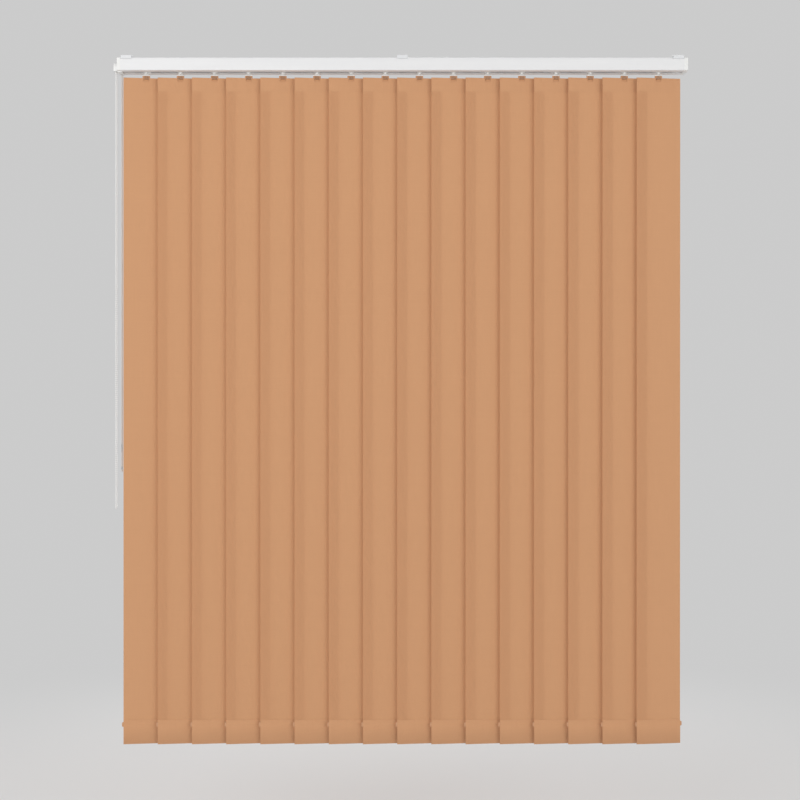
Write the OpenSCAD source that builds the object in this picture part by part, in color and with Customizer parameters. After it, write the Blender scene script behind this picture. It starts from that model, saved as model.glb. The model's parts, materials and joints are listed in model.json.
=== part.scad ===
// Vertical blind, drawn across and closed, hung under three ceiling clips.
// Origin: middle of the clips' top faces. +X runs along the rail, -Y faces the room, +Z is up.

/* [Vanes] */
// Width of a vane across its two long edges
vane_w = 89; // [80:1:92]
// Length of a vane from its top fold to its bottom fold
vane_l = 1318; // [600:1:1600]
// Distance between the stems of neighbouring vanes when the blind is drawn
vane_pitch = 67.6; // [62:0.1:72]
// Turn of the closed vanes out of the line of the rail
closed_angle = 8; // [8:0.5:14]
// Thickness of the woven fabric
fabric_t = 0.35; // [0.2:0.05:0.4]
// Height of the hemmed pocket at the top of a vane
top_pocket_h = 28; // [24:1:40]
// Height of the hemmed pocket at the bottom of a vane
bottom_pocket_h = 48; // [30:1:60]
// Thickness of the hanger and of the bottom weight in their pockets
insert_t = 1.2; // [0.8:0.1:1.2]
// Gap between the underside of the rail and the top fold of the vanes
hang_gap = 10.5; // [9:0.5:14]

/* [Headrail] */
// Depth of the rail from front to back
rail_d = 44; // [43:0.5:50]
// Height of the rail
rail_h = 26; // [25:0.5:32]
// Wall of the rail
rail_wall = 1.4; // [1:0.1:1.8]
// Radius of the rail's four long outer edges
rail_r = 2; // [1.5:0.1:2.5]
// Width of the slot under the rail
slot_w = 14; // [13:0.5:16]
// Height of the lips along the slot
lip_h = 1.2; // [0.8:0.1:2]
// Length of rail beyond the first and last stems
end_margin = 47.5; // [46:0.5:60]
// Thickness of the end caps outside the rail
cap_t = 7; // [6:0.5:10]
// Length of the end caps' plugs inside the rail
plug_l = 20; // [16:1:26]

/* [Ceiling clips] */
// Width of a clip along the rail
clip_w = 21; // [16:1:30]
// Sheet thickness of a clip
clip_t = 1.2; // [0.8:0.1:1.5]
// Gap between a clip's plate and the top of the rail
clip_gap = 2.8; // [2:0.1:5]
// Distance of the outer clips from the middle of the rail
clip_x = 543; // [400:1:544]
// Diameter of the fixing hole in a clip
screw_d = 5; // [4:0.5:6]

/* [Tilt drive] */
// Diameter of the tilt rod
rod_d = 6; // [5:0.5:7]
// Diameter of a vane's stem
stem_d = 6; // [5:0.5:7]
// Diameter of a bead of the tilt chain
bead_d = 3; // [2.4:0.1:3.2]
// Distance between neighbouring beads
bead_pitch = 4; // [3.8:0.1:5]
// Number of bead pockets round the chain wheel
pockets = 10; // [8:1:11]
// Beads on each hanging side of the chain loop
hanging_beads = 216; // [60:1:300]

/* [Carriers] */
// Length of a carrier along the rail
carrier_l = 19.4; // [18:0.1:24]
// Diameter of the draw cord
cord_d = 2; // [1.4:0.1:2.2]
// Radius of the draw cord's turn round the return pulley
pulley_r = 4; // [3:0.1:4.4]
// Running clearance between moving pieces
run = 0.3; // [0.2:0.05:0.35]

/* [Hidden] */
$fn = 48;
vane_count = 16;

function numbered(name, i) = str(name, i < 10 ? "_0" : "_", i);

white = "#e9e9e7";
aluminium = "#d5d6d8";
plated = "#c9cbcc";
cloth = "#c6946e";
toned = "#b78a67";

// Clearance in a plain bearing, and of a piece that is pressed or pushed home
bearing = run / 3;
snug = 0.05;
// Reach of a cut past the face it opens, and of a solid into the one it grows from
cut = 1;

// Places along the rail
function stem_x(i) = (i - (vane_count + 1) / 2) * vane_pitch;
rail_end = stem_x(vane_count) + end_margin;
cap_face = rail_end + cap_t;

// Levels of the rail
rail_top = -clip_t - clip_gap;
rail_bottom = rail_top - rail_h;
rail_floor = rail_bottom + rail_wall;
rail_ceiling = rail_top - rail_wall;
rail_inside = rail_d / 2 - rail_wall;
lip_t = 1.2;
groove_drop = 1.6;
groove_h = 1.4;
groove_depth = 0.7;

// Levels of the vanes
vane_top = rail_bottom - hang_gap;
vane_bottom = vane_top - vane_l;

// Bends of a clip
clip_slack = 0.1;
rib_in = 8;
rib_w = 5;

// Worm of the carriers and pinion of the stems
worm_wall = 0.6;
thread_h = 0.7;
worm_threads = 5;
worm_l = 12.4;
tooth_h = 0.6;
tooth_w = 1.1;
pinion_teeth = 10;
worm_bore_r = rod_d / 2 + run;
worm_root_r = worm_bore_r + worm_wall;
worm_r = worm_root_r + thread_h;
pinion_r = stem_d / 2 + tooth_h;
rod_y = -worm_r - pinion_r - run;
key_r = 0.6;
keys = 3;

// Case of a carrier
case_wall = 0.8;
lip_gap = 0.5;
case_base = rail_floor + lip_h + lip_gap;
rod_z = case_base + case_wall + worm_r;
case_top = rod_z + worm_r;
case_front = rod_y - worm_r - run - case_wall;
stem_bore_r = pinion_r + run;
shoe_gap = 0.6;
shoe_t = 2;
boss_wall = 2.2;
boss_inset = 0.5;
boss_base = rail_bottom + boss_inset;
head_rim = 1.1;
head_t = 1.4;
head_r = stem_bore_r + head_rim;

// Draw cord in the rail, its outlets under the control end and its pulley
cord_land = 1.7;
cord_depth = 3.1;
cord_slack = 0.4;
cord_bore_r = cord_d / 2 + cord_slack;
cord_y = stem_bore_r + cord_land + cord_bore_r;
cord_y_back = cord_y + 2 * pulley_r;
cord_z = case_top - cord_depth;
case_back = cord_y_back + cord_bore_r + 2 * case_wall;
cord_inset = 4.5;
cord_x = -(cap_face - cord_inset);
cord_bend_r = 5;
outlet_drop = 2.5;
outlet_r = 1.2;
outlet_z = rail_bottom - outlet_drop;
outlet_half = 18;
outlet_wrap = 2;
pulley_x = rail_end - plug_l / 2;
pulley_y = cord_y + pulley_r;
pulley_t = 4;
pulley_rim = 0.5;
pin_r = 1.5;
pin_seat = 3;
pin_low = cord_z - pulley_t / 2 - pin_seat;
pin_high = cord_z + pulley_t / 2 + pin_seat;

// Spacer strips between the carriers, each at its own level through the portals
strip_t = 0.4;
strip_past = 8.4;
strip_l = vane_pitch + strip_past;
strip_step = 1.15;
stack_gap = 0.6;
strip_levels = ceil(strip_l / (carrier_l + stack_gap)) + 1;
strip_base = case_top + run;
function strip_z(i) = strip_base + strip_step * (i % strip_levels);
post_t = 0.8;
post_l = 5;
lane_clear = 0.4;
lane_front = head_r + 2 * stack_gap + post_t;
lane_back = cord_y_back - cord_d / 2;
bridge_z = strip_base + strip_step * strip_levels;
ear_l = 5;
ear_inset = 1;
ear_front = lane_back + lane_clear + post_t + lane_clear / 2;
ear_back = ear_front + 2;

// Catch under the lead carrier
catch_l = 5;
catch_w = 5;
catch_gap = 1;
catch_drop = 1.8;

// Chain wheel and its guard
wheel_r = bead_pitch / (2 * sin(180 / pockets));
wheel_half = 2.6;
wheel_gap = 0.6;
wheel_rim = 0.6;
wheel_x = -(cap_face + wheel_gap + wheel_half);
rod_start = wheel_x - wheel_half + cut;
rod_stop = rail_end + cap_t / 2 - wheel_gap;
pocket_gap = 0.25;
pocket_depth = 0.5;
guard_wall = 0.8;
guard_r = wheel_r + bead_d / 2 + run;
guard_face = 1.4;
guard_room = 0.5;
guard_drop = 0.4;
guard_taper = 12;

// A bead is a barrel: its flat and its ends reach these shares of its diameter from its middle
string_r = 0.5;
bead_flat = 0.16;
bead_reach = 0.43;

// Hook, hanger and weight
hook_w = 8;
hook_leg = 0.8;
hook_slack = 0.1;
hook_half = insert_t / 2 + hook_slack + hook_leg;
hook_dip = 0.9;
hook_seat = vane_top - hook_dip;
hook_low = hook_seat - 1.6;
prong_h = 3.7;
tab_w = 15;
tab_h = 6.2;
tab_r = 2;
shoulder_gap = 0.5;
shoulder_t = 1.6;
window_w = 10.6;
window_h = 6.1;
hanger_side = 4;
hanger_r = 3;
weight_side = 1.5;
weight_r = 1;
peg_l = 3;
peg_h = 9;
peg_r = 2;
hem = 3;
slot_slack = 0.2;
pocket_half = insert_t / 2 + snug;
fold_r = pocket_half + fabric_t;

// Route of the hanging draw cord: down from the front outlet, round and up to the back one
cord_route = [
    [-557, 7, -32.5], [-557, 7, -60], [-557, 7, -120], [-557, 7, -200], [-557, 7, -300],
    [-557, 7, -400], [-557, 7, -500], [-557, 7, -600], [-557, 7, -700], [-557, 7, -780],
    [-557, 7, -816], [-557, 7.5, -818], [-557, 9, -819.5], [-557, 11, -820], [-557, 13, -819.5],
    [-557, 14.5, -818], [-557, 15, -816], [-557, 15, -780], [-557, 15, -700], [-557, 15, -600],
    [-557, 15, -500], [-557, 15, -400], [-557, 15, -300], [-557, 15, -200], [-557, 15, -120],
    [-557, 15, -60], [-557, 15, -32.5]
];
cord_sides = 8;

// A flat shape in Y and Z, drawn out along X from x0 over a length
module along_x(x0, length) {
    translate([x0, 0, 0]) rotate([90, 0, 90]) linear_extrude(length) children();
}

// A flat shape in X and Z, drawn out to both sides of Y = 0
module along_y(thickness) {
    rotate([90, 0, 0]) linear_extrude(thickness, center = true) children();
}

// A round bar or bore along X
module bar_x(x0, x1, y, z, r) {
    translate([x0, y, z]) rotate([0, 90, 0]) cylinder(h = x1 - x0, r = r);
}

// A block between two opposite corners
module block(low, high) {
    translate(low) cube(high - low);
}

// A flat rectangle with round corners between two opposite corners
module rounded(low, high, r) {
    translate([low[0] + r, low[1]]) square([high[0] - low[0] - 2 * r, high[1] - low[1]]);
    translate([low[0], low[1] + r]) square([high[0] - low[0], high[1] - low[1] - 2 * r]);
    for (a = [low[0] + r, high[0] - r], b = [low[1] + r, high[1] - r]) translate([a, b]) circle(r);
}

// A part of a ring, its axis along Z
module ring_part(ring_r, tube_r, angle) {
    rotate_extrude(angle = angle) translate([ring_r, 0]) circle(tube_r);
}

// Place and turn of a closed vane and its stem
module in_vane(i) {
    translate([stem_x(i), 0, 0]) rotate([0, 0, closed_angle]) children();
}

// Open channel with lips along its slot and a clip groove high on each side
module rail_section() {
    difference() {
        rounded([-rail_d / 2, rail_bottom], [rail_d / 2, rail_top], rail_r);
        translate([-rail_inside, rail_floor]) square([2 * rail_inside, rail_ceiling - rail_floor]);
        translate([-slot_w / 2, rail_bottom - cut]) square([slot_w, rail_wall + 2 * cut]);
        for (side = [-1, 1])
            translate([side * rail_d / 2 - groove_depth, rail_top - groove_drop - groove_h])
                square([2 * groove_depth, groove_h]);
    }
    for (side = [-1, 1])
        translate([side * (slot_w + lip_t) / 2 - lip_t / 2, rail_bottom])
            square([lip_t, rail_wall + lip_h]);
}

module headrail() {
    color(aluminium) along_x(-rail_end, 2 * rail_end) rail_section();
}

// Spring sheet: a plate for the screw, two pressed ribs on the rail and a hook round each edge
module clip_section() {
    reach = rail_d / 2 + clip_slack;
    rib_out = rib_in + rib_w - clip_t;
    clip_low = rail_top - groove_drop - groove_h + clip_slack;
    for (side = [0, 1]) mirror([side, 0]) {
        translate([0, -clip_t]) square([rib_in + clip_t, clip_t]);
        translate([rib_in, rail_top]) square([clip_t, -rail_top]);
        translate([rib_in, rail_top]) square([rib_w, clip_t]);
        translate([rib_out, rail_top]) square([clip_t, -rail_top]);
        translate([rib_out, -clip_t]) square([reach + clip_t - rib_out, clip_t]);
        translate([reach, clip_low]) square([clip_t, -clip_low]);
        translate([reach - groove_depth, clip_low])
            square([groove_depth + clip_t, groove_h - 2 * clip_slack]);
    }
}

module ceiling_clips() {
    color(plated) for (x = [-clip_x, 0, clip_x]) difference() {
        along_x(x - clip_w / 2, clip_w) clip_section();
        translate([x, 0, -clip_t - cut]) cylinder(h = clip_t + 2 * cut, d = screw_d);
    }
}

// Outside plate and plug of an end cap; side is -1 at the control end and 1 at the return end
module cap_body(side) {
    plate = side < 0 ? -cap_face : rail_end;
    plug = side < 0 ? -rail_end : rail_end - plug_l;
    along_x(plate, cap_t) rounded([-rail_d / 2, rail_bottom], [rail_d / 2, rail_top], rail_r);
    along_x(plug, plug_l)
        rounded([-rail_inside + run, case_base - run], [rail_inside - run, rail_ceiling - run], rail_r);
}

// Way of one cord strand from its outlet under the cap into the rail
module cord_way(y, r) {
    translate([cord_x, y, outlet_z]) cylinder(h = cord_z - cord_bend_r - outlet_z, r = r);
    translate([cord_x + cord_bend_r, y, cord_z - cord_bend_r])
        rotate([90, 0, 0]) rotate([0, 0, 90]) ring_part(cord_bend_r, r, 90);
}

module control_end_cap() {
    color(white) difference() {
        union() {
            cap_body(-1);
            along_x(-cap_face, cap_t + outlet_wrap)
                rounded([-outlet_half, outlet_z], [outlet_half, rail_bottom], outlet_r);
            block([-cap_face, -outlet_half + rail_r, rail_bottom - outlet_drop / 2],
                  [-rail_end, outlet_half - rail_r, rail_bottom + rail_r]);
        }
        bar_x(-cap_face - cut, -rail_end + plug_l + cut, rod_y, rod_z, rod_d / 2 + bearing);
        for (y = [cord_y, cord_y_back]) {
            cord_way(y, cord_bore_r);
            translate([cord_x, y, outlet_z - cut]) cylinder(h = 2 * cut, r = cord_bore_r);
            bar_x(cord_x + cord_bend_r, -rail_end + plug_l + cut, y, cord_z, cord_bore_r);
        }
    }
}

module return_end_cap() {
    room = pulley_r + cord_d / 2 + 2 * pulley_rim + run;
    room_half = pulley_t / 2 + run;
    color(white) difference() {
        cap_body(1);
        bar_x(rail_end - plug_l - cut, rail_end + cap_t / 2, rod_y, rod_z, rod_d / 2 + bearing);
        block([rail_end - plug_l - cut, pulley_y - room, cord_z - room_half],
              [pulley_x + room, pulley_y + room, cord_z + room_half]);
        translate([pulley_x, pulley_y, pin_low - bearing])
            cylinder(h = pin_high - pin_low + 2 * bearing, r = pin_r + snug);
    }
}

module pulley_pin() {
    color(plated) translate([pulley_x, pulley_y, pin_low]) cylinder(h = pin_high - pin_low, r = pin_r);
}

module return_pulley() {
    rim_r = pulley_r + cord_d / 2 + pulley_rim;
    hub_r = pin_r + bearing;
    groove_r = cord_d / 2 + bearing;
    color(white) translate([pulley_x, pulley_y, cord_z]) rotate_extrude() difference() {
        translate([hub_r, -pulley_t / 2]) square([rim_r - hub_r, pulley_t]);
        translate([pulley_r, 0]) circle(groove_r);
        translate([pulley_r, -groove_r]) square([rim_r, 2 * groove_r]);
    }
}

// Hood over the chain wheel, open below for the two sides of the chain
module guard_outline(r) {
    low = rail_bottom - guard_drop - cut;
    translate([rod_y, rod_z]) circle(r);
    translate([rod_y - r, low]) square([2 * r, rod_z - low]);
}

module chain_guard() {
    outer_x = wheel_x - wheel_half - guard_face;
    mouth_z = rail_bottom - guard_drop;
    far = 2 * guard_r;
    color(white) difference() {
        along_x(outer_x, -cap_face - outer_x) guard_outline(guard_r + guard_wall);
        along_x(outer_x + guard_face - guard_room, -cap_face - outer_x) guard_outline(guard_r);
        block([outer_x - cut, rod_y - far, mouth_z - far], [-cap_face + cut, rod_y + far, mouth_z]);
        translate([outer_x, 0, rod_z - guard_r / 2]) rotate([0, guard_taper, 0])
            block([-far, rod_y - far, -far], [0, rod_y + far, 0]);
    }
}

// Grooved rod that slides through every carrier
module tilt_rod() {
    color(aluminium) along_x(rod_start, rod_stop - rod_start) translate([rod_y, rod_z]) difference() {
        circle(rod_d / 2);
        for (k = [1:keys]) rotate(k * 360 / keys) translate([rod_d / 2, 0]) circle(key_r);
    }
}

// Flanges beside a core with a dent for each bead, set back so that the beads pass
module chain_wheel() {
    groove_half = bead_d / 2 + pocket_gap;
    bore_r = rod_d / 2 + snug;
    color(white) translate([wheel_x, rod_y, rod_z]) rotate([0, 90, 0]) {
        translate([0, 0, -groove_half]) linear_extrude(2 * groove_half) difference() {
            circle(wheel_r - groove_half);
            circle(bore_r);
            for (k = [0:pockets - 1]) rotate((k + 0.5) * 360 / pockets)
                translate([wheel_r, 0]) circle(bead_d / 2 + pocket_depth);
        }
        for (z = [-wheel_half, groove_half]) translate([0, 0, z])
            linear_extrude(wheel_half - groove_half) difference() {
                circle(wheel_r + wheel_rim);
                circle(bore_r);
            }
    }
}

// A straight string of n beads on its cord, upwards from Z = 0
module bead_string(n) {
    outline = [for (k = [0:n - 1], p = [
        [string_r, -bead_reach], [bead_d / 2, -bead_flat], [bead_d / 2, bead_flat], [string_r, bead_reach]])
            [p[0], bead_pitch * (k + 0.5) + bead_d * p[1]]];
    top = n * bead_pitch;
    rotate_extrude() polygon(concat([[0, 0], [string_r, 0]], outline, [[string_r, top], [0, top]]));
}

// Half a turn of beads round the wheel
module chain_turn() {
    ring_part(wheel_r, string_r, 180);
    for (a = [180 / pockets:360 / pockets:180]) rotate(a)
        translate([wheel_r, -bead_pitch / 2, 0]) rotate([-90, 0, 0]) bead_string(1);
}

module tilt_chain() {
    hang = hanging_beads * bead_pitch;
    color(white) translate([wheel_x, rod_y, rod_z]) {
        rotate([90, 0, 90]) chain_turn();
        translate([0, 0, -hang]) rotate([90, 0, 90]) rotate(180) chain_turn();
        for (side = [-1, 1]) translate([0, side * wheel_r, -hang]) bead_string(hanging_beads);
    }
}

// The draw cord inside the rail, from outlet to outlet round the return pulley
module draw_cord_run() {
    r = cord_d / 2;
    color(white) {
        for (y = [cord_y, cord_y_back]) {
            cord_way(y, r);
            bar_x(cord_x + cord_bend_r, pulley_x, y, cord_z, r);
        }
        translate([pulley_x, pulley_y, cord_z]) rotate(-90) ring_part(pulley_r, r, 180);
    }
}

// Directions along a route, and a side direction carried along it without twist
function unit(v) = v / norm(v);
function heading(p, k) = unit(p[min(k + 1, len(p) - 1)] - p[max(k - 1, 0)]);
function side_of(p, k) = k == 0 ? [1, 0, 0]
    : let (s = side_of(p, k - 1), t = heading(p, k)) unit(s - (s * t) * t);
function ring_at(p, k, r, n) = let (t = heading(p, k), s = side_of(p, k), c = cross(t, s))
    [for (j = [0:n - 1]) p[k] + r * (cos(360 * j / n) * s + sin(360 * j / n) * c)];

// A round tube with n sides along a route of points
module tube(route, r, n) {
    last = len(route) - 1;
    polyhedron(
        points = [for (k = [0:last], q = ring_at(route, k, r, n)) q],
        faces = concat(
            [[for (j = [0:n - 1]) j]],
            [for (k = [0:last - 1], j = [0:n - 1])
                [k * n + j, (k + 1) * n + j, (k + 1) * n + (j + 1) % n, k * n + (j + 1) % n]],
            [[for (j = [n - 1:-1:0]) last * n + j]]));
}

module draw_cord_loop() {
    color(white) tube(cord_route, cord_d / 2, cord_sides);
}

// Moulded case on two runners, with ways for rod, stem and cord and a portal for the strips
module carrier_case(i) {
    half = carrier_l / 2;
    worm_half = worm_l / 2 + run;
    worm_room = worm_r + run;
    stem_room = stem_d / 2 + run;
    runner_in = slot_w / 2 + lip_t + run;
    runner_out = rail_inside - shoe_gap;
    catch_x = stem_d / 2 + catch_gap;
    difference() {
        union() {
            block([-half, case_front, case_base], [half, case_back, case_top]);
            for (y = [-runner_out, runner_in])
                block([-half, y, rail_floor + run],
                      [half, y + runner_out - runner_in, case_base + shoe_t]);
            translate([0, 0, boss_base])
                cylinder(h = case_base - boss_base + cut, r = stem_room + boss_wall);
            for (y = [lane_front - lane_clear - post_t, lane_back + lane_clear])
                block([-post_l / 2, y, case_top - cut], [post_l / 2, y + post_t, bridge_z + post_t]);
            block([-post_l / 2, lane_front - lane_clear - post_t, bridge_z],
                  [post_l / 2, lane_back + lane_clear + post_t, bridge_z + post_t]);
            if (i > 1) block([half - ear_inset - ear_l, ear_front, case_top - cut],
                             [half - ear_inset, ear_back, strip_z(i) - snug]);
            if (i == 1) block([catch_x, -catch_w / 2, rail_bottom - catch_drop],
                              [catch_x + catch_l, catch_w / 2, case_base + cut]);
        }
        bar_x(-half - cut, half + cut, rod_y, rod_z, worm_bore_r + run);
        bar_x(-worm_half, worm_half, rod_y, rod_z, worm_room);
        block([-worm_half, rod_y - worm_room, rod_z], [worm_half, rod_y + worm_room, case_top + cut]);
        translate([0, 0, case_base]) cylinder(h = case_top - case_base + cut, r = stem_bore_r);
        translate([0, 0, boss_base - cut]) cylinder(h = case_base - boss_base + 2 * cut, r = stem_room);
        for (y = [cord_y, cord_y_back]) bar_x(-half - cut, half + cut, y, cord_z, cord_bore_r);
    }
}

// Ridged worm that rides on the rod and drives the stem's pinion, its thread in fifths of the pitch
module carrier_worm() {
    fifth = worm_l / worm_threads / 5;
    thread = [[worm_root_r, 0], [worm_root_r, 1], [worm_r, 2], [worm_r, 3], [worm_root_r, 4]];
    outline = [for (k = [0:worm_threads - 1], p = thread) [p[0], (5 * k + p[1]) * fifth]];
    translate([-worm_l / 2, rod_y, rod_z]) rotate([0, 90, 0]) rotate_extrude()
        polygon(concat([[worm_bore_r, 0]], outline, [[worm_root_r, worm_l], [worm_bore_r, worm_l]]));
}

// Strip that reaches back through the carrier before this one
module spacer_strip(i) {
    stop = carrier_l / 2 - ear_inset;
    translate([0, 0, strip_z(i)]) {
        block([-strip_l, lane_front, 0], [stop, lane_back, strip_t]);
        block([stop - ear_l, lane_front, 0], [stop, ear_back, strip_t]);
    }
}

module carrier(i) {
    translate([stem_x(i), 0, 0]) {
        color(white) carrier_case(i);
        color(white) carrier_worm();
        if (i > 1) color(plated) spacer_strip(i);
    }
}

module pinion_outline() {
    circle(stem_d / 2);
    intersection() {
        circle(pinion_r);
        for (k = [1:pinion_teeth]) rotate(k * 360 / pinion_teeth)
            translate([0, -tooth_w / 2]) square([pinion_r + cut, tooth_w]);
    }
}

// Stem with its thrust head and pinion above and its hook below
module stem(i) {
    head_z = case_top + run;
    pinion_z = case_base + run;
    shoulder_z = vane_top + tab_h + shoulder_gap;
    shoulder_top = shoulder_z + shoulder_t;
    side = hook_w / 2;
    color(white) in_vane(i) {
        translate([0, 0, head_z]) cylinder(h = head_t, r = head_r);
        translate([0, 0, pinion_z]) linear_extrude(head_z - pinion_z) pinion_outline();
        translate([0, 0, shoulder_z]) cylinder(h = pinion_z - shoulder_z, d = stem_d);
        block([-side, -hook_half, shoulder_z], [side, hook_half, shoulder_top]);
        block([-side, hook_half - hook_leg, hook_low], [side, hook_half, shoulder_top]);
        block([-side, -hook_half, hook_low], [side, hook_half, hook_seat]);
        block([-side, -hook_half, hook_low], [side, hook_leg - hook_half, hook_seat + prong_h]);
    }
}

// One hemmed end of a vane, seen from its edge: the fold at the height 0 and the turned-in flap at -Y
module hem_section(height) {
    middle = pocket_half + fabric_t / 2;
    difference() {
        union() {
            translate([0, fold_r]) circle(fold_r);
            translate([-fold_r, fold_r]) square([2 * fold_r, height - hem - fold_r]);
        }
        translate([0, fold_r]) circle(pocket_half);
        translate([-pocket_half, fold_r]) square([2 * pocket_half, height]);
    }
    polygon([[-fold_r, height - hem], [-pocket_half, height - hem],
             [middle, height - fabric_t], [middle, height]]);
}

// The top flap is turned to the back and the bottom one to the front, so the sheet leans a little
module fabric_section() {
    low = vane_bottom + bottom_pocket_h - hem;
    high = vane_top - top_pocket_h + hem;
    translate([0, vane_bottom]) hem_section(bottom_pocket_h);
    translate([0, vane_top]) rotate(180) hem_section(top_pocket_h);
    polygon([[pocket_half, low], [fold_r, low], [-pocket_half, high], [-fold_r, high]]);
}

// Cut out for the hanger's tab, and for its window in front and the hook's back leg behind
module vane_fabric() {
    deep = fold_r + cut;
    tab_half = tab_w / 2 + slot_slack;
    window_half = window_w / 2 + slot_slack;
    difference() {
        along_x(-vane_w / 2, vane_w) fabric_section();
        block([-tab_half, -deep, hook_seat], [tab_half, deep, vane_top + cut]);
        block([-window_half, -deep, hook_seat - window_h - slot_slack], [window_half, 0, hook_seat + cut]);
        block([-window_half, 0, hook_low - slot_slack], [window_half, deep, hook_seat + cut]);
    }
}

// Hanger in the top pocket, with its tab and its window for the hook
module vane_hanger() {
    half = vane_w / 2 - hanger_side;
    low = vane_top - top_pocket_h + hem + insert_t;
    along_y(insert_t) difference() {
        union() {
            rounded([-half, low], [half, hook_seat - snug], hanger_r);
            rounded([-tab_w / 2, hook_seat - window_h], [tab_w / 2, vane_top + tab_h], tab_r);
        }
        translate([-window_w / 2, hook_seat - window_h]) square([window_w, window_h]);
    }
}

// Weight in the bottom pocket, with a peg past each edge of the vane
module vane_weight() {
    half = vane_w / 2 - weight_side;
    low = vane_bottom + fold_r;
    high = vane_bottom + bottom_pocket_h - hem - insert_t;
    peg_half = vane_w / 2 + peg_l;
    along_y(insert_t) {
        rounded([-half, low], [half, high], weight_r);
        rounded([-peg_half, high - peg_h], [peg_half, high], peg_r);
    }
}

module vane(i) {
    in_vane(i) {
        color(cloth) vane_fabric();
        color(toned) vane_hanger();
        color(toned) vane_weight();
    }
}

headrail();
control_end_cap();
chain_guard();
return_end_cap();
ceiling_clips();
tilt_rod();
chain_wheel();
tilt_chain();
draw_cord_run();
draw_cord_loop();
return_pulley();
pulley_pin();
for (i = [1:vane_count]) {
    carrier(i);
    stem(i);
    vane(i);
}
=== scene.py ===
import bmesh
import bpy
import json
import math
from mathutils import Matrix, Vector


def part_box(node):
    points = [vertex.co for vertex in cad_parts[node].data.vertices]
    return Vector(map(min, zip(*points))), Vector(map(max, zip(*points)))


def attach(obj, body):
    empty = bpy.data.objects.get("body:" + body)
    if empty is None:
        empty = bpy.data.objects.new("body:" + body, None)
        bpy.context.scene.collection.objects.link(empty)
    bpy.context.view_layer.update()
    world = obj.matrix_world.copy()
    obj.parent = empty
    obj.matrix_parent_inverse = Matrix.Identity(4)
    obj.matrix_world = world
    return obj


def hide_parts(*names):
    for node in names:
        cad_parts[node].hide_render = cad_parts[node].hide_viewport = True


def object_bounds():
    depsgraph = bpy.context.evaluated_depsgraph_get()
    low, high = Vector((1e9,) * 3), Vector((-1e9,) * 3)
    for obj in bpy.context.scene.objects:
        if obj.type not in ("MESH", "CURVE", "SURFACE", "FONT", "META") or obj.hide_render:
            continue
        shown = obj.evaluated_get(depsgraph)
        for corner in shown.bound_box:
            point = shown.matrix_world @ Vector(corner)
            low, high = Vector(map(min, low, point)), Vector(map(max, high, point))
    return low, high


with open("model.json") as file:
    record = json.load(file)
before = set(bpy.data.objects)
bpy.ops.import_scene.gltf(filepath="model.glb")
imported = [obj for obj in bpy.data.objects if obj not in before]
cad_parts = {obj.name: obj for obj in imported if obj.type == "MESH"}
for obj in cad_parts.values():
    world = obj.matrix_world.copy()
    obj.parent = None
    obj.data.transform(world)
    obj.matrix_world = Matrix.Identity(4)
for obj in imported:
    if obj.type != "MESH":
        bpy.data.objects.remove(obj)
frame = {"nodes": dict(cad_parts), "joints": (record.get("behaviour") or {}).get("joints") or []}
cad_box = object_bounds()
nodes = frame["nodes"]


# Sizes of the blind in metres
MM = 0.001
VANE_W = 89 * MM
FABRIC_T = 0.35 * MM
TOP_POCKET_H = 28 * MM
BOTTOM_POCKET_H = 48 * MM
HEM_H = 3 * MM
TAB_H = 6.2 * MM
TAB_HALF = 7.7 * MM
WINDOW_HALF = 5.5 * MM
WINDOW_DROP = 7.2 * MM
HOOK_HALF = 4.2 * MM
HOOK_DROP = 2.5 * MM
POCKET_HALF = 0.65 * MM
RIM_H = 2 * MM
CLOSED_ANGLE = math.radians(8)
BEAD_D = 3 * MM
BEAD_PITCH = 4 * MM
BEAD_POCKETS = 10
HANGING_BEADS = 216
STRING_D = 1 * MM
CORD_D = 2 * MM

# How near a solid's points are joined, and at what turn its faces count as flat or as sharp
MERGE = 1e-6
FLAT_ANGLE = math.radians(1)
SHARP_ANGLE = math.radians(35)

# The draw cord's way down from its front outlet, round and up to the back one
CORD_ROUTE = [
    Vector(point) * MM for point in [
        (-557, 7, -32.5), (-557, 7, -60), (-557, 7, -120), (-557, 7, -200), (-557, 7, -300),
        (-557, 7, -400), (-557, 7, -500), (-557, 7, -600), (-557, 7, -700), (-557, 7, -780),
        (-557, 7, -816), (-557, 7.5, -818), (-557, 9, -819.5), (-557, 11, -820), (-557, 13, -819.5),
        (-557, 14.5, -818), (-557, 15, -816), (-557, 15, -780), (-557, 15, -700), (-557, 15, -600),
        (-557, 15, -500), (-557, 15, -400), (-557, 15, -300), (-557, 15, -200), (-557, 15, -120),
        (-557, 15, -60), (-557, 15, -32.5),
    ]
]

# The camera stands level with the middle of the vanes and looks straight at them
CAMERA_AT = Vector((-0.0047, -3.03, -0.678))
FIELD_OF_VIEW = math.radians(29.3)

# The studio: the floor lies a little below the blind, and the background is a pale grey
FLOOR_GAP = 0.25
BACKGROUND = 0.6
AMBIENT = 0.5


def numbered(kind):
    """The names of all solids of one kind, in order along the rail."""
    return sorted(name for name in nodes if name.startswith(kind + "_") and name[-2:].isdigit())


def linear(red, green, blue):
    """A colour as a screen shows it, from 0 to 255, as the linear light that shaders use."""
    shares = [value / 255 for value in (red, green, blue)]
    return [s / 12.92 if s <= 0.04045 else ((s + 0.055) / 1.055) ** 2.4 for s in shares] + [1.0]


def set_camera():
    data = bpy.data.cameras.new("camera")
    data.sensor_width = 36
    data.lens = data.sensor_width / 2 / math.tan(FIELD_OF_VIEW / 2)
    data.clip_end = 100
    camera = bpy.data.objects.new("camera", data)
    camera.location = CAMERA_AT
    camera.rotation_euler = (math.pi / 2, 0, 0)
    bpy.context.scene.collection.objects.link(camera)
    bpy.context.scene.camera = camera


set_camera()


# Materials

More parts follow.
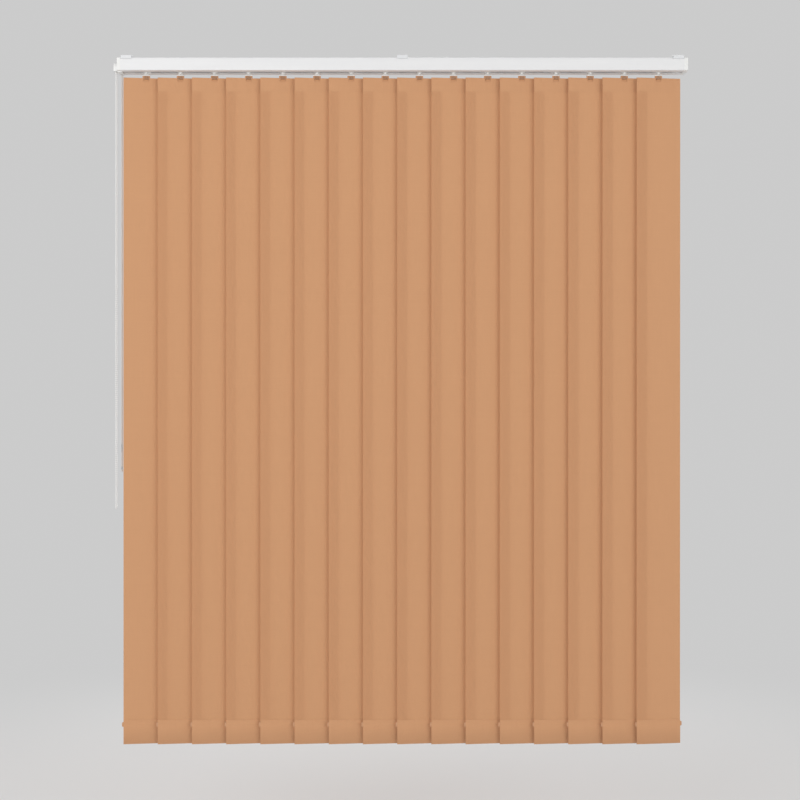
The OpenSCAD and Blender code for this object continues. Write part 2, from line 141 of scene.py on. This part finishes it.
class Value:
    """A socket's value; sums on it become Math nodes."""

    def __init__(self, nodes, socket):
        self.nodes = nodes
        self.socket = socket

    def out(self, name):
        """Another output of the same node."""
        return Value(self.nodes, self.socket.node.outputs[name])

    def math(self, operation, *numbers):
        return self.nodes.node("ShaderNodeMath", {"operation": operation}, dict(enumerate(numbers)))

    def __add__(self, other):
        return self.math("ADD", self, other)

    def __sub__(self, other):
        return self.math("SUBTRACT", self, other)

    def __rsub__(self, other):
        return self.math("SUBTRACT", other, self)

    def __mul__(self, other):
        return self.math("MULTIPLY", self, other)

    def __truediv__(self, other):
        return self.math("DIVIDE", self, other)

    def __rtruediv__(self, other):
        return self.math("DIVIDE", other, self)

    def __mod__(self, other):
        return self.math("FLOORED_MODULO", self, other)

    def __rmod__(self, other):
        return self.math("FLOORED_MODULO", other, self)

    __radd__ = __add__
    __rmul__ = __mul__

    def floor(self):
        return self.math("FLOOR", self)

    def sine(self):
        return self.math("SINE", self)

    def root(self):
        return self.math("SQRT", self)

    def size(self):
        return self.math("ABSOLUTE", self)

    def at_most(self, limit):
        return self.math("MINIMUM", self, limit)


class Nodes:
    """A tree of shader nodes."""

    def __init__(self, tree):
        self.tree = tree

    def node(self, kind, settings=None, sockets=None, out=0):
        """Any node: its settings first, then the values or links of its sockets."""
        made = self.tree.nodes.new(kind)
        for key, value in (settings or {}).items():
            setattr(made, key, value)
        for key, value in (sockets or {}).items():
            self.link(made.inputs[key], value)
        return Value(self, made.outputs[out])

    def link(self, socket, value):
        if isinstance(value, Value):
            self.tree.links.new(value.socket, socket)
        else:
            socket.default_value = value

    def show(self, surface):
        """Put a shader on the surface."""
        output = next(node for node in self.tree.nodes if node.type.startswith("OUTPUT"))
        self.link(output.inputs["Surface"], surface)

    def mixed(self, share, first, second):
        return self.node("ShaderNodeMixShader", sockets={0: share, 1: first, 2: second})

    def seen_directly(self):
        """One where a surface is seen itself or in a gloss, nothing where light only bounces."""
        path = self.node("ShaderNodeLightPath", out="Is Camera Ray")
        return (path + path.out("Is Glossy Ray") + path.out("Is Transmission Ray")).at_most(1.0)


class Finish(Nodes):
    """One material, with a Principled shader whose plain values are set directly."""

    def __init__(self, name, **plain):
        self.material = bpy.data.materials.new(name)
        self.material.use_nodes = True
        super().__init__(self.material.node_tree)
        self.shader = self.tree.nodes["Principled BSDF"]
        self.surface = Value(self, self.shader.outputs[0])
        self.feed(**plain)

    def feed(self, **sockets):
        for socket, value in sockets.items():
            self.link(self.shader.inputs[socket.replace("_", " ")], value)

    def place(self):
        return self.node("ShaderNodeTexCoord", out="Object")

    def parts(self, vector):
        first = self.node("ShaderNodeSeparateXYZ", sockets={0: vector})
        return first, first.out("Y"), first.out("Z")

    def stretched(self, vector, scale):
        return self.node("ShaderNodeMapping", sockets={"Vector": vector, "Scale": scale})

    def noise(self, vector, scale, detail=3.0):
        return self.node("ShaderNodeTexNoise", sockets={"Vector": vector, "Scale": scale, "Detail": detail})

    def between(self, share, first, second):
        """A colour between two others."""
        settings = {"data_type": "RGBA"}
        return self.node("ShaderNodeMix", settings, {0: share, 6: first, 7: second}, out=2)

    def ramp(self, value, low, high):
        """From nothing at the low value to one at the high one."""
        settings = {"interpolation_type": "SMOOTHSTEP"}
        sockets = {"Value": value, "From Min": low, "From Max": high}
        return self.node("ShaderNodeMapRange", settings, sockets)

    def bump(self, height, depth):
        return self.node("ShaderNodeBump", sockets={"Height": height, "Distance": depth})


def moulding(name, light, dark, roughness):
    """Injection-moulded plastic with a fine spark-eroded grain and faint flow marks, and its colour."""
    spread = 0.12
    finish = Finish(name, IOR=1.49)
    place = finish.place()
    flow = finish.noise(place, scale=60.0)
    grain = finish.noise(place, scale=4200.0, detail=2.0)
    colour = finish.between(flow, dark, light)
    finish.feed(
        Base_Color=colour,
        Roughness=flow * spread + (roughness - spread / 2),
        Normal=finish.bump(grain, depth=0.02 * MM),
    )
    return finish, colour


def moulded_plastic(name, light, dark, roughness):
    return moulding(name, light, dark, roughness)[0].material


def toned_plastic(name, light, dark, rim, rim_z):
    """Plastic in the tone of the cloth, pale above one height."""
    soft = 0.2 * MM
    finish, colour = moulding(name, light, dark, roughness=0.4)
    height = finish.parts(finish.place())[2]
    above = finish.ramp(height, rim_z - soft, rim_z + soft)
    finish.feed(Base_Color=finish.between(above, colour, rim))
    return finish.material


def powder_coat(name, light, dark):
    """White powder coat on the rail: the soft orange peel of a baked coat."""
    finish = Finish(name, IOR=1.5)
    place = finish.place()
    peel = finish.noise(place, scale=900.0, detail=2.0)
    cloud = finish.noise(finish.stretched(place, (3.0, 40.0, 40.0)), scale=2.0)
    finish.feed(
        Base_Color=finish.between(cloud, dark, light),
        Roughness=peel * 0.10 + 0.38,
        Normal=finish.bump(peel, depth=0.03 * MM),
    )
    return finish.material


def drawn_metal(name, colour, shade, roughness):
    """Bare metal with the fine lines of drawing along the rail."""
    spread = 0.16
    finish = Finish(name, Metallic=1.0)
    lines = finish.noise(finish.stretched(finish.place(), (4.0, 900.0, 900.0)), scale=3.0)
    finish.feed(
        Base_Color=finish.between(lines, shade, colour),
        Roughness=lines * spread + (roughness - spread / 2),
        Normal=finish.bump(lines, depth=0.02 * MM),
    )
    return finish.material


def braided_cord(name, light, dark):
    """Braid: two sets of strands that cross, laid out round and along the cord."""
    strands = 4.0
    lay = 1.6 * MM
    finish = Finish(name, Roughness=0.75, Sheen_Weight=0.2)
    around, along, _ = finish.parts(finish.node("ShaderNodeUVMap", {"uv_map": "cloth"}))
    turn = 2 * math.pi
    left = ((around * strands + along / lay) * turn).sine()
    right = ((around * strands - along / lay) * turn).sine()
    weave = (left * right) * 0.5 + 0.5
    # The colour follows the braid's height, lighter on the strands and darker between them: painted shade
    # in the grooves.
    finish.feed(
        Base_Color=finish.between(weave, dark, light),
        Normal=finish.bump(weave, depth=0.1 * MM),
    )
    return finish.material


def running_cord(name, light, dark):
    """The same cord where it runs along the rail, its strands as short slanting flecks."""
    finish = Finish(name, Roughness=0.75, Sheen_Weight=0.2)
    flecks = finish.noise(finish.stretched(finish.place(), (350.0, 1100.0, 1100.0)), scale=1.0, detail=2.0)
    # The flecks' colour follows their height, darker where they lie lower: painted shade between the
    # strands.
    finish.feed(
        Base_Color=finish.between(flecks, dark, light),
        Normal=finish.bump(flecks, depth=0.15 * MM),
    )
    return finish.material


def woven_fabric(name, light, dark, painted_edge_shade_colour, glow, length):
    """Plain weave with slubs along both threads, with painted shade darkening it towards the lower edge.

    It lets some light through where it isn't doubled.
    """
    thread = 0.55 * MM
    fine = 700.0
    long = 14.0
    seam = 1 * MM
    painted_edge_shade_h = 40 * MM
    painted_edge_shade_most = 0.24
    finish = Finish(name, Sheen_Weight=0.1, Sheen_Roughness=0.5, Specular_IOR_Level=0.2)
    cloth = finish.node("ShaderNodeUVMap", {"uv_map": "cloth"})
    across, along, _ = finish.parts(cloth)
    warp = (across * (math.pi / thread)).sine().size()
    weft = (along * (math.pi / thread)).sine().size()
    over = ((across / thread).floor() + (along / thread).floor()) % 2.0
    height = over * warp + (1 - over) * weft
    warp_slub = finish.noise(finish.stretched(cloth, (fine, long, 1.0)), scale=1.0)
    weft_slub = finish.noise(finish.stretched(cloth, (long, fine, 1.0)), scale=1.0)
    slub = (warp_slub + weft_slub) * 0.5
    # Painted shade: the colour darkens towards the fold at the cloth's lower edge, fading out 40 mm above
    # it on both faces.
    from_edge = (along - (length - BOTTOM_POCKET_H)).size()
    painted_edge_shade_share = 1 - finish.ramp(from_edge, 0.0, painted_edge_shade_h)
    # The slubs give the yarn's own tone at random; the share that follows the weave's height, lighter on
    # the thread crowns and darker between them, is painted shade.
    colour = finish.between(slub * 0.6 + height * 0.4, dark, light)
    colour = finish.between(painted_edge_shade_share * painted_edge_shade_most, colour, painted_edge_shade_colour)
    finish.feed(
        Base_Color=colour,
        Roughness=height * 0.1 + 0.8,
        Normal=finish.bump(height * 0.7 + slub * 0.3, depth=0.12 * MM),
    )
    below_top = finish.ramp(along, 2 * TOP_POCKET_H, 2 * TOP_POCKET_H + seam)
    in_bottom = finish.ramp(along, length - 2 * BOTTOM_POCKET_H - seam, length - 2 * BOTTOM_POCKET_H)
    single = below_top * (1 - in_bottom)
    through = finish.node("ShaderNodeBsdfTranslucent", sockets={"Color": light})
    finish.show(finish.mixed(single * glow, finish.surface, through))
    return finish.material


tab_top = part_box("vane_01")[1].z
vane_top = tab_top - TAB_H
white = linear(238, 238, 236)
thread_white = linear(240, 240, 238)
thread_painted_shade = linear(214, 214, 212)
white_plastic = moulded_plastic("white_plastic", white, linear(228, 228, 226), roughness=0.38)
bead_plastic = moulded_plastic(
    "bead_plastic", linear(240, 240, 238), linear(230, 230, 229), roughness=0.3)
hanger_plastic = toned_plastic(
    "hanger_plastic", linear(194, 145, 108), linear(182, 134, 98), rim=white, rim_z=tab_top - RIM_H)
# The hook is toned like the hanger but darker; the extra darkness below its pale rim is painted shade.
hook_plastic_with_painted_shade = toned_plastic(
    "hook_plastic_with_painted_shade", linear(164, 122, 90), linear(152, 112, 82), rim=white, rim_z=tab_top)
weight_plastic = moulded_plastic(
    "weight_plastic", linear(203, 153, 115), linear(192, 143, 106), roughness=0.4)
rail_coat = powder_coat("rail_coat", linear(232, 232, 232), linear(225, 225, 226))
clip_coat = powder_coat("clip_coat", linear(226, 227, 228), linear(216, 217, 219))
rod_metal = drawn_metal("rod_metal", linear(214, 215, 218), linear(188, 190, 194), roughness=0.36)
pin_metal = drawn_metal("pin_metal", linear(200, 201, 204), linear(176, 178, 181), roughness=0.28)
cord_braid = braided_cord("cord_braid", thread_white, thread_painted_shade)
inner_cord = running_cord("inner_cord", thread_white, thread_painted_shade)


# Meshes

def piece_from(bm, name, body, material, smooth_angle=40):
    """Make a finished piece of a bmesh, riding on its body, smooth where faces turn less than the angle."""
    mesh = bpy.data.meshes.new(name)
    bm.to_mesh(mesh)
    bm.free()
    mesh.shade_smooth()
    mesh.set_sharp_from_angle(angle=math.radians(smooth_angle))
    mesh.materials.append(material)
    piece = bpy.data.objects.new(name, mesh)
    bpy.context.scene.collection.objects.link(piece)
    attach(piece, body)
    return piece


def of_kind(geometry, kind):
    return [item for item in geometry if isinstance(item, kind)]


def length_of(path):
    return sum(math.dist(a, b) for a, b in zip(path, path[1:]))


def in_vane(name):
    """From a vane's own frame, stem at the middle, to its place on the closed blind."""
    joint = next(j for j in frame["joints"] if j["child"] == name)
    return Matrix.Translation((joint["pos_m"][0], 0, 0)) @ Matrix.Rotation(CLOSED_ANGLE, 4, "Z")


def fold(centre_z, radius, first, last, steps=8):
    """Points of a half fold in the vane's edge view, as depth and height."""
    turns = [first + (last - first) * step / steps for step in range(steps + 1)]
    return [(radius * math.cos(a), centre_z + radius * math.sin(a)) for a in turns]


def straight(start, end, steps):
    """Points between two others, both left out."""
    shares = [step / steps for step in range(1, steps)]
    return [(start[0] + (end[0] - start[0]) * s, start[1] + (end[1] - start[1]) * s) for s in shares]


def cloth_line(top, bottom):
    """The cloth seen from the vane's edge, as depth and height.

    It runs up the back flap, over the hanger, down the vane, round the weight and up in front.
    """
    sheet_steps = 24
    pocket_steps = 4
    weld = 1 * MM
    middle = POCKET_HALF + FABRIC_T / 2
    outer = POCKET_HALF + FABRIC_T
    seam = middle - FABRIC_T
    top_seam = top - TOP_POCKET_H
    top_hem = top_seam + HEM_H
    bottom_seam = bottom + BOTTOM_POCKET_H
    bottom_hem = bottom_seam - HEM_H
    bottom_fold = bottom + outer
    line = [(-seam, top_seam), (-seam, top_seam + weld), (middle, top_hem), (middle, top - HOOK_DROP)]
    line += fold(top - outer, middle, 0, math.pi)
    line += [(-middle, top - WINDOW_DROP), (-middle, top_hem)]
    line += straight((-middle, top_hem), (middle, bottom_hem), sheet_steps)
    line += [(middle, bottom_hem)]
    line += straight((middle, bottom_hem), (middle, bottom_fold), pocket_steps)
    line += fold(bottom_fold, middle, 0, -math.pi)
    line += straight((-middle, bottom_fold), (-middle, bottom_hem), pocket_steps)
    line += [(-middle, bottom_hem), (seam, bottom_seam - weld), (seam, bottom_seam)]
    return line


def cloth_of_vane(line):
    """One vane's cloth in its own frame, drawn out across the vane and cut out round the hook."""
    half = VANE_W / 2
    side_steps = 5
    side = [TAB_HALF + (half - TAB_HALF) * step / side_steps for step in range(side_steps + 1)]
    right = [HOOK_HALF, WINDOW_HALF] + side
    columns = [-x for x in reversed(right)] + [0] + right
    bm = bmesh.new()
    along = bm.verts.layers.float.new("along")
    verts = []
    run = 0.0
    for here, before in zip(line, line[:1] + line):
        run += math.dist(here, before)
        verts.append(bm.verts.new((columns[0], here[0], here[1])))
        verts[-1][along] = run
    edges = [bm.edges.new(pair) for pair in zip(verts, verts[1:])]
    for before, here in zip(columns, columns[1:]):
        grown = bmesh.ops.extrude_edge_only(bm, edges=edges)["geom"]
        edges = of_kind(grown, bmesh.types.BMEdge)
        moved = of_kind(grown, bmesh.types.BMVert)
        bmesh.ops.translate(bm, verts=moved, vec=(here - before, 0, 0))
    uv = bm.loops.layers.uv.new("cloth")
    for face in bm.faces:
        for loop in face.loops:
            loop[uv].uv = (loop.vert.co.x + half, loop.vert[along])
    fold_low = vane_top - POCKET_HALF - FABRIC_T

    def cut_out(face):
        middle = face.calc_center_median()
        in_tab = abs(middle.x) < TAB_HALF and middle.z > fold_low
        wide, drop = (WINDOW_HALF, WINDOW_DROP) if middle.y < 0 else (HOOK_HALF, HOOK_DROP)
        in_window = abs(middle.x) < wide and middle.z > vane_top - drop
        return in_tab or in_window

    bmesh.ops.delete(bm, geom=[f for f in bm.faces if cut_out(f)], context="FACES")
    return bm


def loose_parts(name):
    """The separate solids of one node, merged, from the highest to the lowest."""
    bm = bmesh.new()
    bm.from_mesh(nodes[name].data)
    bmesh.ops.remove_doubles(bm, verts=bm.verts, dist=MERGE)
    left = set(bm.verts)
    groups = []
    while left:
        group = set()
        waiting = [left.pop()]
        while waiting:
            vert = waiting.pop()
            group.add(vert)
            near = {e.other_vert(vert) for e in vert.link_edges} & left
            left -= near
            waiting += near
        groups.append(group)
    groups.sort(key=lambda group: -sum(v.co.z for v in group) / len(group))
    parts = []
    for group in groups:
        part = bm.copy()
        part.verts.ensure_lookup_table()
        others = [part.verts[v.index] for v in bm.verts if v not in group]
        bmesh.ops.delete(part, geom=others, context="VERTS")
        parts.append(part)
    bm.free()
    return parts


def ease(bm, width):
    """Join flat faces and round sharp edges, as a moulding has them."""
    bmesh.ops.dissolve_limit(bm, angle_limit=FLAT_ANGLE, verts=bm.verts, edges=bm.edges)
    sharp = [e for e in bm.edges if len(e.link_faces) == 2 and e.calc_face_angle() > SHARP_ANGLE]
    bmesh.ops.bevel(bm, geom=sharp, offset=width, affect="EDGES", segments=2, profile=0.5, material=-1)


def make_vanes():
    names = numbered("vane")
    line = cloth_line(vane_top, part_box(names[0])[0].z)
    cut_length = length_of(line)
    # The darkest colour given here is painted shade along the vanes' lower edge.
    vane_cloth = woven_fabric(
        "vane_cloth", linear(215, 163, 121), linear(199, 147, 109), painted_edge_shade_colour=linear(150, 110, 82),
        glow=0.14, length=cut_length)
    cloth = cloth_of_vane(line)
    hanger, _, weight = loose_parts(names[0])
    from_first = in_vane(names[0]).inverted()
    for insert in (hanger, weight):
        ease(insert, width=0.2 * MM)
        bmesh.ops.transform(insert, matrix=from_first, verts=insert.verts)
    kinds = [(cloth, "vane_fabric", vane_cloth, "vane_fabric"),
             (hanger, "hanger", hanger_plastic, "toned_plastic"),
             (weight, "weight", weight_plastic, "toned_plastic")]
    for name in names:
        pieces = []
        for pattern, kind, material, slot in kinds:
            bm = pattern.copy()
            bmesh.ops.transform(bm, matrix=in_vane(name), verts=bm.verts)
            pieces.append(piece_from(bm, name.replace("vane", kind), name, material))
        fabric, hanger, weight = pieces
        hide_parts(name)


def frames_along(path):
    """A frame at each point of a path, its Z axis along the path."""
    ahead = path[1:] + path[-1:]
    behind = path[:1] + path[:-1]
    turns = [(b - a).to_track_quat("Z", "X").to_matrix().to_4x4() for a, b in zip(behind, ahead)]
    return [Matrix.Translation(here) @ turn for here, turn in zip(path, turns)]


def sweep(bm, path, radius, sides):
    """A round tube along a path, closed at both ends, with a map round and along it."""
    around = bm.verts.layers.float.new("around")
    along = bm.verts.layers.float.new("along")
    frames = frames_along(path)
    ring = bmesh.ops.create_circle(bm, segments=sides, radius=radius, matrix=frames[0])["verts"]
    for k, vert in enumerate(ring):
        vert[around] = k / sides
    edges = list(dict.fromkeys(edge for vert in ring for edge in vert.link_edges))
    bmesh.ops.edgenet_fill(bm, edges=edges)
    run = 0.0
    for before, here in zip(frames, frames[1:]):
        grown = bmesh.ops.extrude_edge_only(bm, edges=edges)["geom"]
        edges = of_kind(grown, bmesh.types.BMEdge)
        ring = of_kind(grown, bmesh.types.BMVert)
        bmesh.ops.transform(bm, matrix=here @ before.inverted(), verts=ring)
        run += (here.translation - before.translation).length
        for vert in ring:
            vert[along] = run
    bmesh.ops.edgenet_fill(bm, edges=edges)
    bmesh.ops.recalc_face_normals(bm, faces=bm.faces)
    uv = bm.loops.layers.uv.new("cloth")
    for face in bm.faces:
        shares = [loop.vert[around] for loop in face.loops]
        wraps = len(face.verts) == 4 and max(shares) - min(shares) > 0.5
        for loop in face.loops:
            share = loop.vert[around]
            loop[uv].uv = (share + 1 if wraps and share == 0 else share, loop.vert[along])


def smooth_route(points, steps):
    """Points on a smooth curve through the given ones."""
    ends = [points[0]] + points + [points[-1]]
    route = []
    for a, b, c, d in zip(ends, ends[1:], ends[2:], ends[3:]):
        for step in range(steps):
            t = step / steps
            route.append(0.5 * (2 * b + (c - a) * t + (2 * a - 5 * b + 4 * c - d) * t * t
                                + (3 * b - a - 3 * c + d) * t ** 3))
    return route + [points[-1]]


def make_draw_cord():
    route = smooth_route(CORD_ROUTE, steps=4)
    bm = bmesh.new()
    sweep(bm, route, CORD_D / 2, sides=12)
    cord = piece_from(bm, "draw_cord", "rail", cord_braid, smooth_angle=80)
    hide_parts("draw_cord_loop")


def make_tilt_chain():
    low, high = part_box("tilt_chain")
    middle = (low + high) / 2
    radius = (high.y - low.y) / 2 - BEAD_D / 2
    top = Vector((middle.x, middle.y, high.z - BEAD_D / 2 - radius))
    bottom = top - Vector((0, 0, HANGING_BEADS * BEAD_PITCH))
    axis = Vector((1, 0, 0))
    turn_steps = 12

    def on_turn(centre, angle):
        return centre + Vector((0, radius * math.cos(angle), radius * math.sin(angle)))

    def turn(centre, first, last):
        return [on_turn(centre, first + (last - first) * k / turn_steps) for k in range(turn_steps + 1)]

    path = turn(top, math.pi / 2, math.pi) + turn(bottom, math.pi, 2 * math.pi) + turn(top, 0, math.pi / 2)
    bm = bmesh.new()
    sweep(bm, path, STRING_D / 2, sides=6)
    step = 2 * math.pi / BEAD_POCKETS

    def bead(place, angle):
        turned = Matrix.Translation(place) @ Matrix.Rotation(angle, 4, "X")
        made = bmesh.ops.create_uvsphere(bm, u_segments=10, v_segments=6, radius=BEAD_D / 2, matrix=turned)
        verts = list(dict.fromkeys(made["verts"]))
        return verts + list(dict.fromkeys(face for vert in verts for face in vert.link_faces))

    for centre, first in ((top, step / 2), (bottom, math.pi + step / 2)):
        bmesh.ops.spin(bm, geom=bead(on_turn(centre, first), first), cent=centre, axis=axis, dvec=(0, 0, 0),
                       angle=math.pi - step, steps=BEAD_POCKETS // 2 - 1, use_duplicate=True)
    for side in (-radius, radius):
        lowest = bottom + Vector((0, side, BEAD_PITCH / 2))
        bmesh.ops.spin(bm, geom=bead(lowest, 0), cent=lowest, axis=axis, dvec=(0, 0, BEAD_PITCH),
                       angle=0, steps=HANGING_BEADS - 1, use_duplicate=True)
    chain = piece_from(bm, "bead_chain", "rail", bead_plastic, smooth_angle=80)
    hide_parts("tilt_chain")


def dress(name, material, edge=0):
    """Give a carried solid its finish and round its sharp edges."""
    solid = nodes[name]
    solid.data.materials.clear()
    solid.data.materials.append(material)
    joined = solid.modifiers.new("joined", "WELD")
    joined.merge_threshold = MERGE
    if edge:
        flat = solid.modifiers.new("flat_faces", "DECIMATE")
        flat.decimate_type = "DISSOLVE"
        flat.angle_limit = FLAT_ANGLE
        rounded = solid.modifiers.new("rounded_edges", "BEVEL")
        rounded.width = edge
        rounded.segments = 2
        rounded.limit_method = "ANGLE"
        rounded.angle_limit = SHARP_ANGLE


def dress_solids():
    dress("headrail", rail_coat, edge=0.2 * MM)
    dress("ceiling_clips", clip_coat, edge=0.15 * MM)
    for name in ("control_end_cap", "return_end_cap"):
        dress(name, white_plastic, edge=0.4 * MM)
    dress("chain_guard", white_plastic, edge=0.25 * MM)
    for name in ("chain_wheel", "return_pulley"):
        dress(name, white_plastic, edge=0.1 * MM)
    dress("tilt_rod", rod_metal)
    dress("pulley_pin", pin_metal)
    dress("draw_cord_run", inner_cord)
    for name in numbered("carrier"):
        dress(name, white_plastic, edge=0.1 * MM)
    for name in numbered("stem"):
        dress(name, hook_plastic_with_painted_shade, edge=0.12 * MM)


make_tilt_chain()
make_draw_cord()
make_vanes()
dress_solids()


# Floor, background and light

def make_floor():
    """A pale round floor that keeps the blind's shadow and fades into the background."""
    near = 1.1
    far = 2.6
    floor_r = 9
    bm = bmesh.new()
    place = Matrix.Translation((0, 0, cad_box[0].z - FLOOR_GAP))
    bmesh.ops.create_circle(bm, segments=96, radius=floor_r, cap_ends=True, matrix=place)
    mesh = bpy.data.meshes.new("floor")
    bm.to_mesh(mesh)
    bm.free()
    floor = bpy.data.objects.new("floor", mesh)
    bpy.context.scene.collection.objects.link(floor)
    finish = Finish("floor_paint", Roughness=0.9, Base_Color=linear(226, 226, 226))
    x, y, _ = finish.parts(finish.place())
    fade = finish.ramp((x * x + y * y).root(), near, far)
    pale = finish.node("ShaderNodeEmission", sockets={"Color": (1, 1, 1, 1), "Strength": BACKGROUND})
    finish.show(finish.mixed(fade * finish.seen_directly(), finish.surface, pale))
    mesh.materials.append(finish.material)


def set_world():
    """Even light all round, and the pale background where the camera looks past the blind."""
    world = bpy.data.worlds.new("studio")
    world.use_nodes = True
    bpy.context.scene.world = world
    sky = Nodes(world.node_tree)
    ambient, pale = (
        sky.node("ShaderNodeBackground", sockets={"Color": (1, 1, 1, 1), "Strength": strength})
        for strength in (AMBIENT, BACKGROUND))
    sky.show(sky.mixed(sky.seen_directly(), ambient, pale))


def add_lamp(name, place, size, power):
    """A soft square lamp, turned to the middle of the blind."""
    data = bpy.data.lights.new(name, "AREA")
    data.size = size
    data.energy = power
    lamp = bpy.data.objects.new(name, data)
    lamp.location = place
    aim = (cad_box[0] + cad_box[1]) / 2
    lamp.rotation_euler = (aim - Vector(place)).to_track_quat("-Z", "Y").to_euler()
    lamp.visible_camera = False
    bpy.context.scene.collection.objects.link(lamp)


make_floor()
set_world()
add_lamp("key_light", (-1.9, -3.3, 0.3), size=2.6, power=60)
add_lamp("fill_light", (2.3, -3.2, -0.1), size=2.6, power=34)
add_lamp("back_light", (0.2, 3.2, 1.4), size=0.7, power=55)
bpy.context.scene.view_settings.view_transform = "Standard"
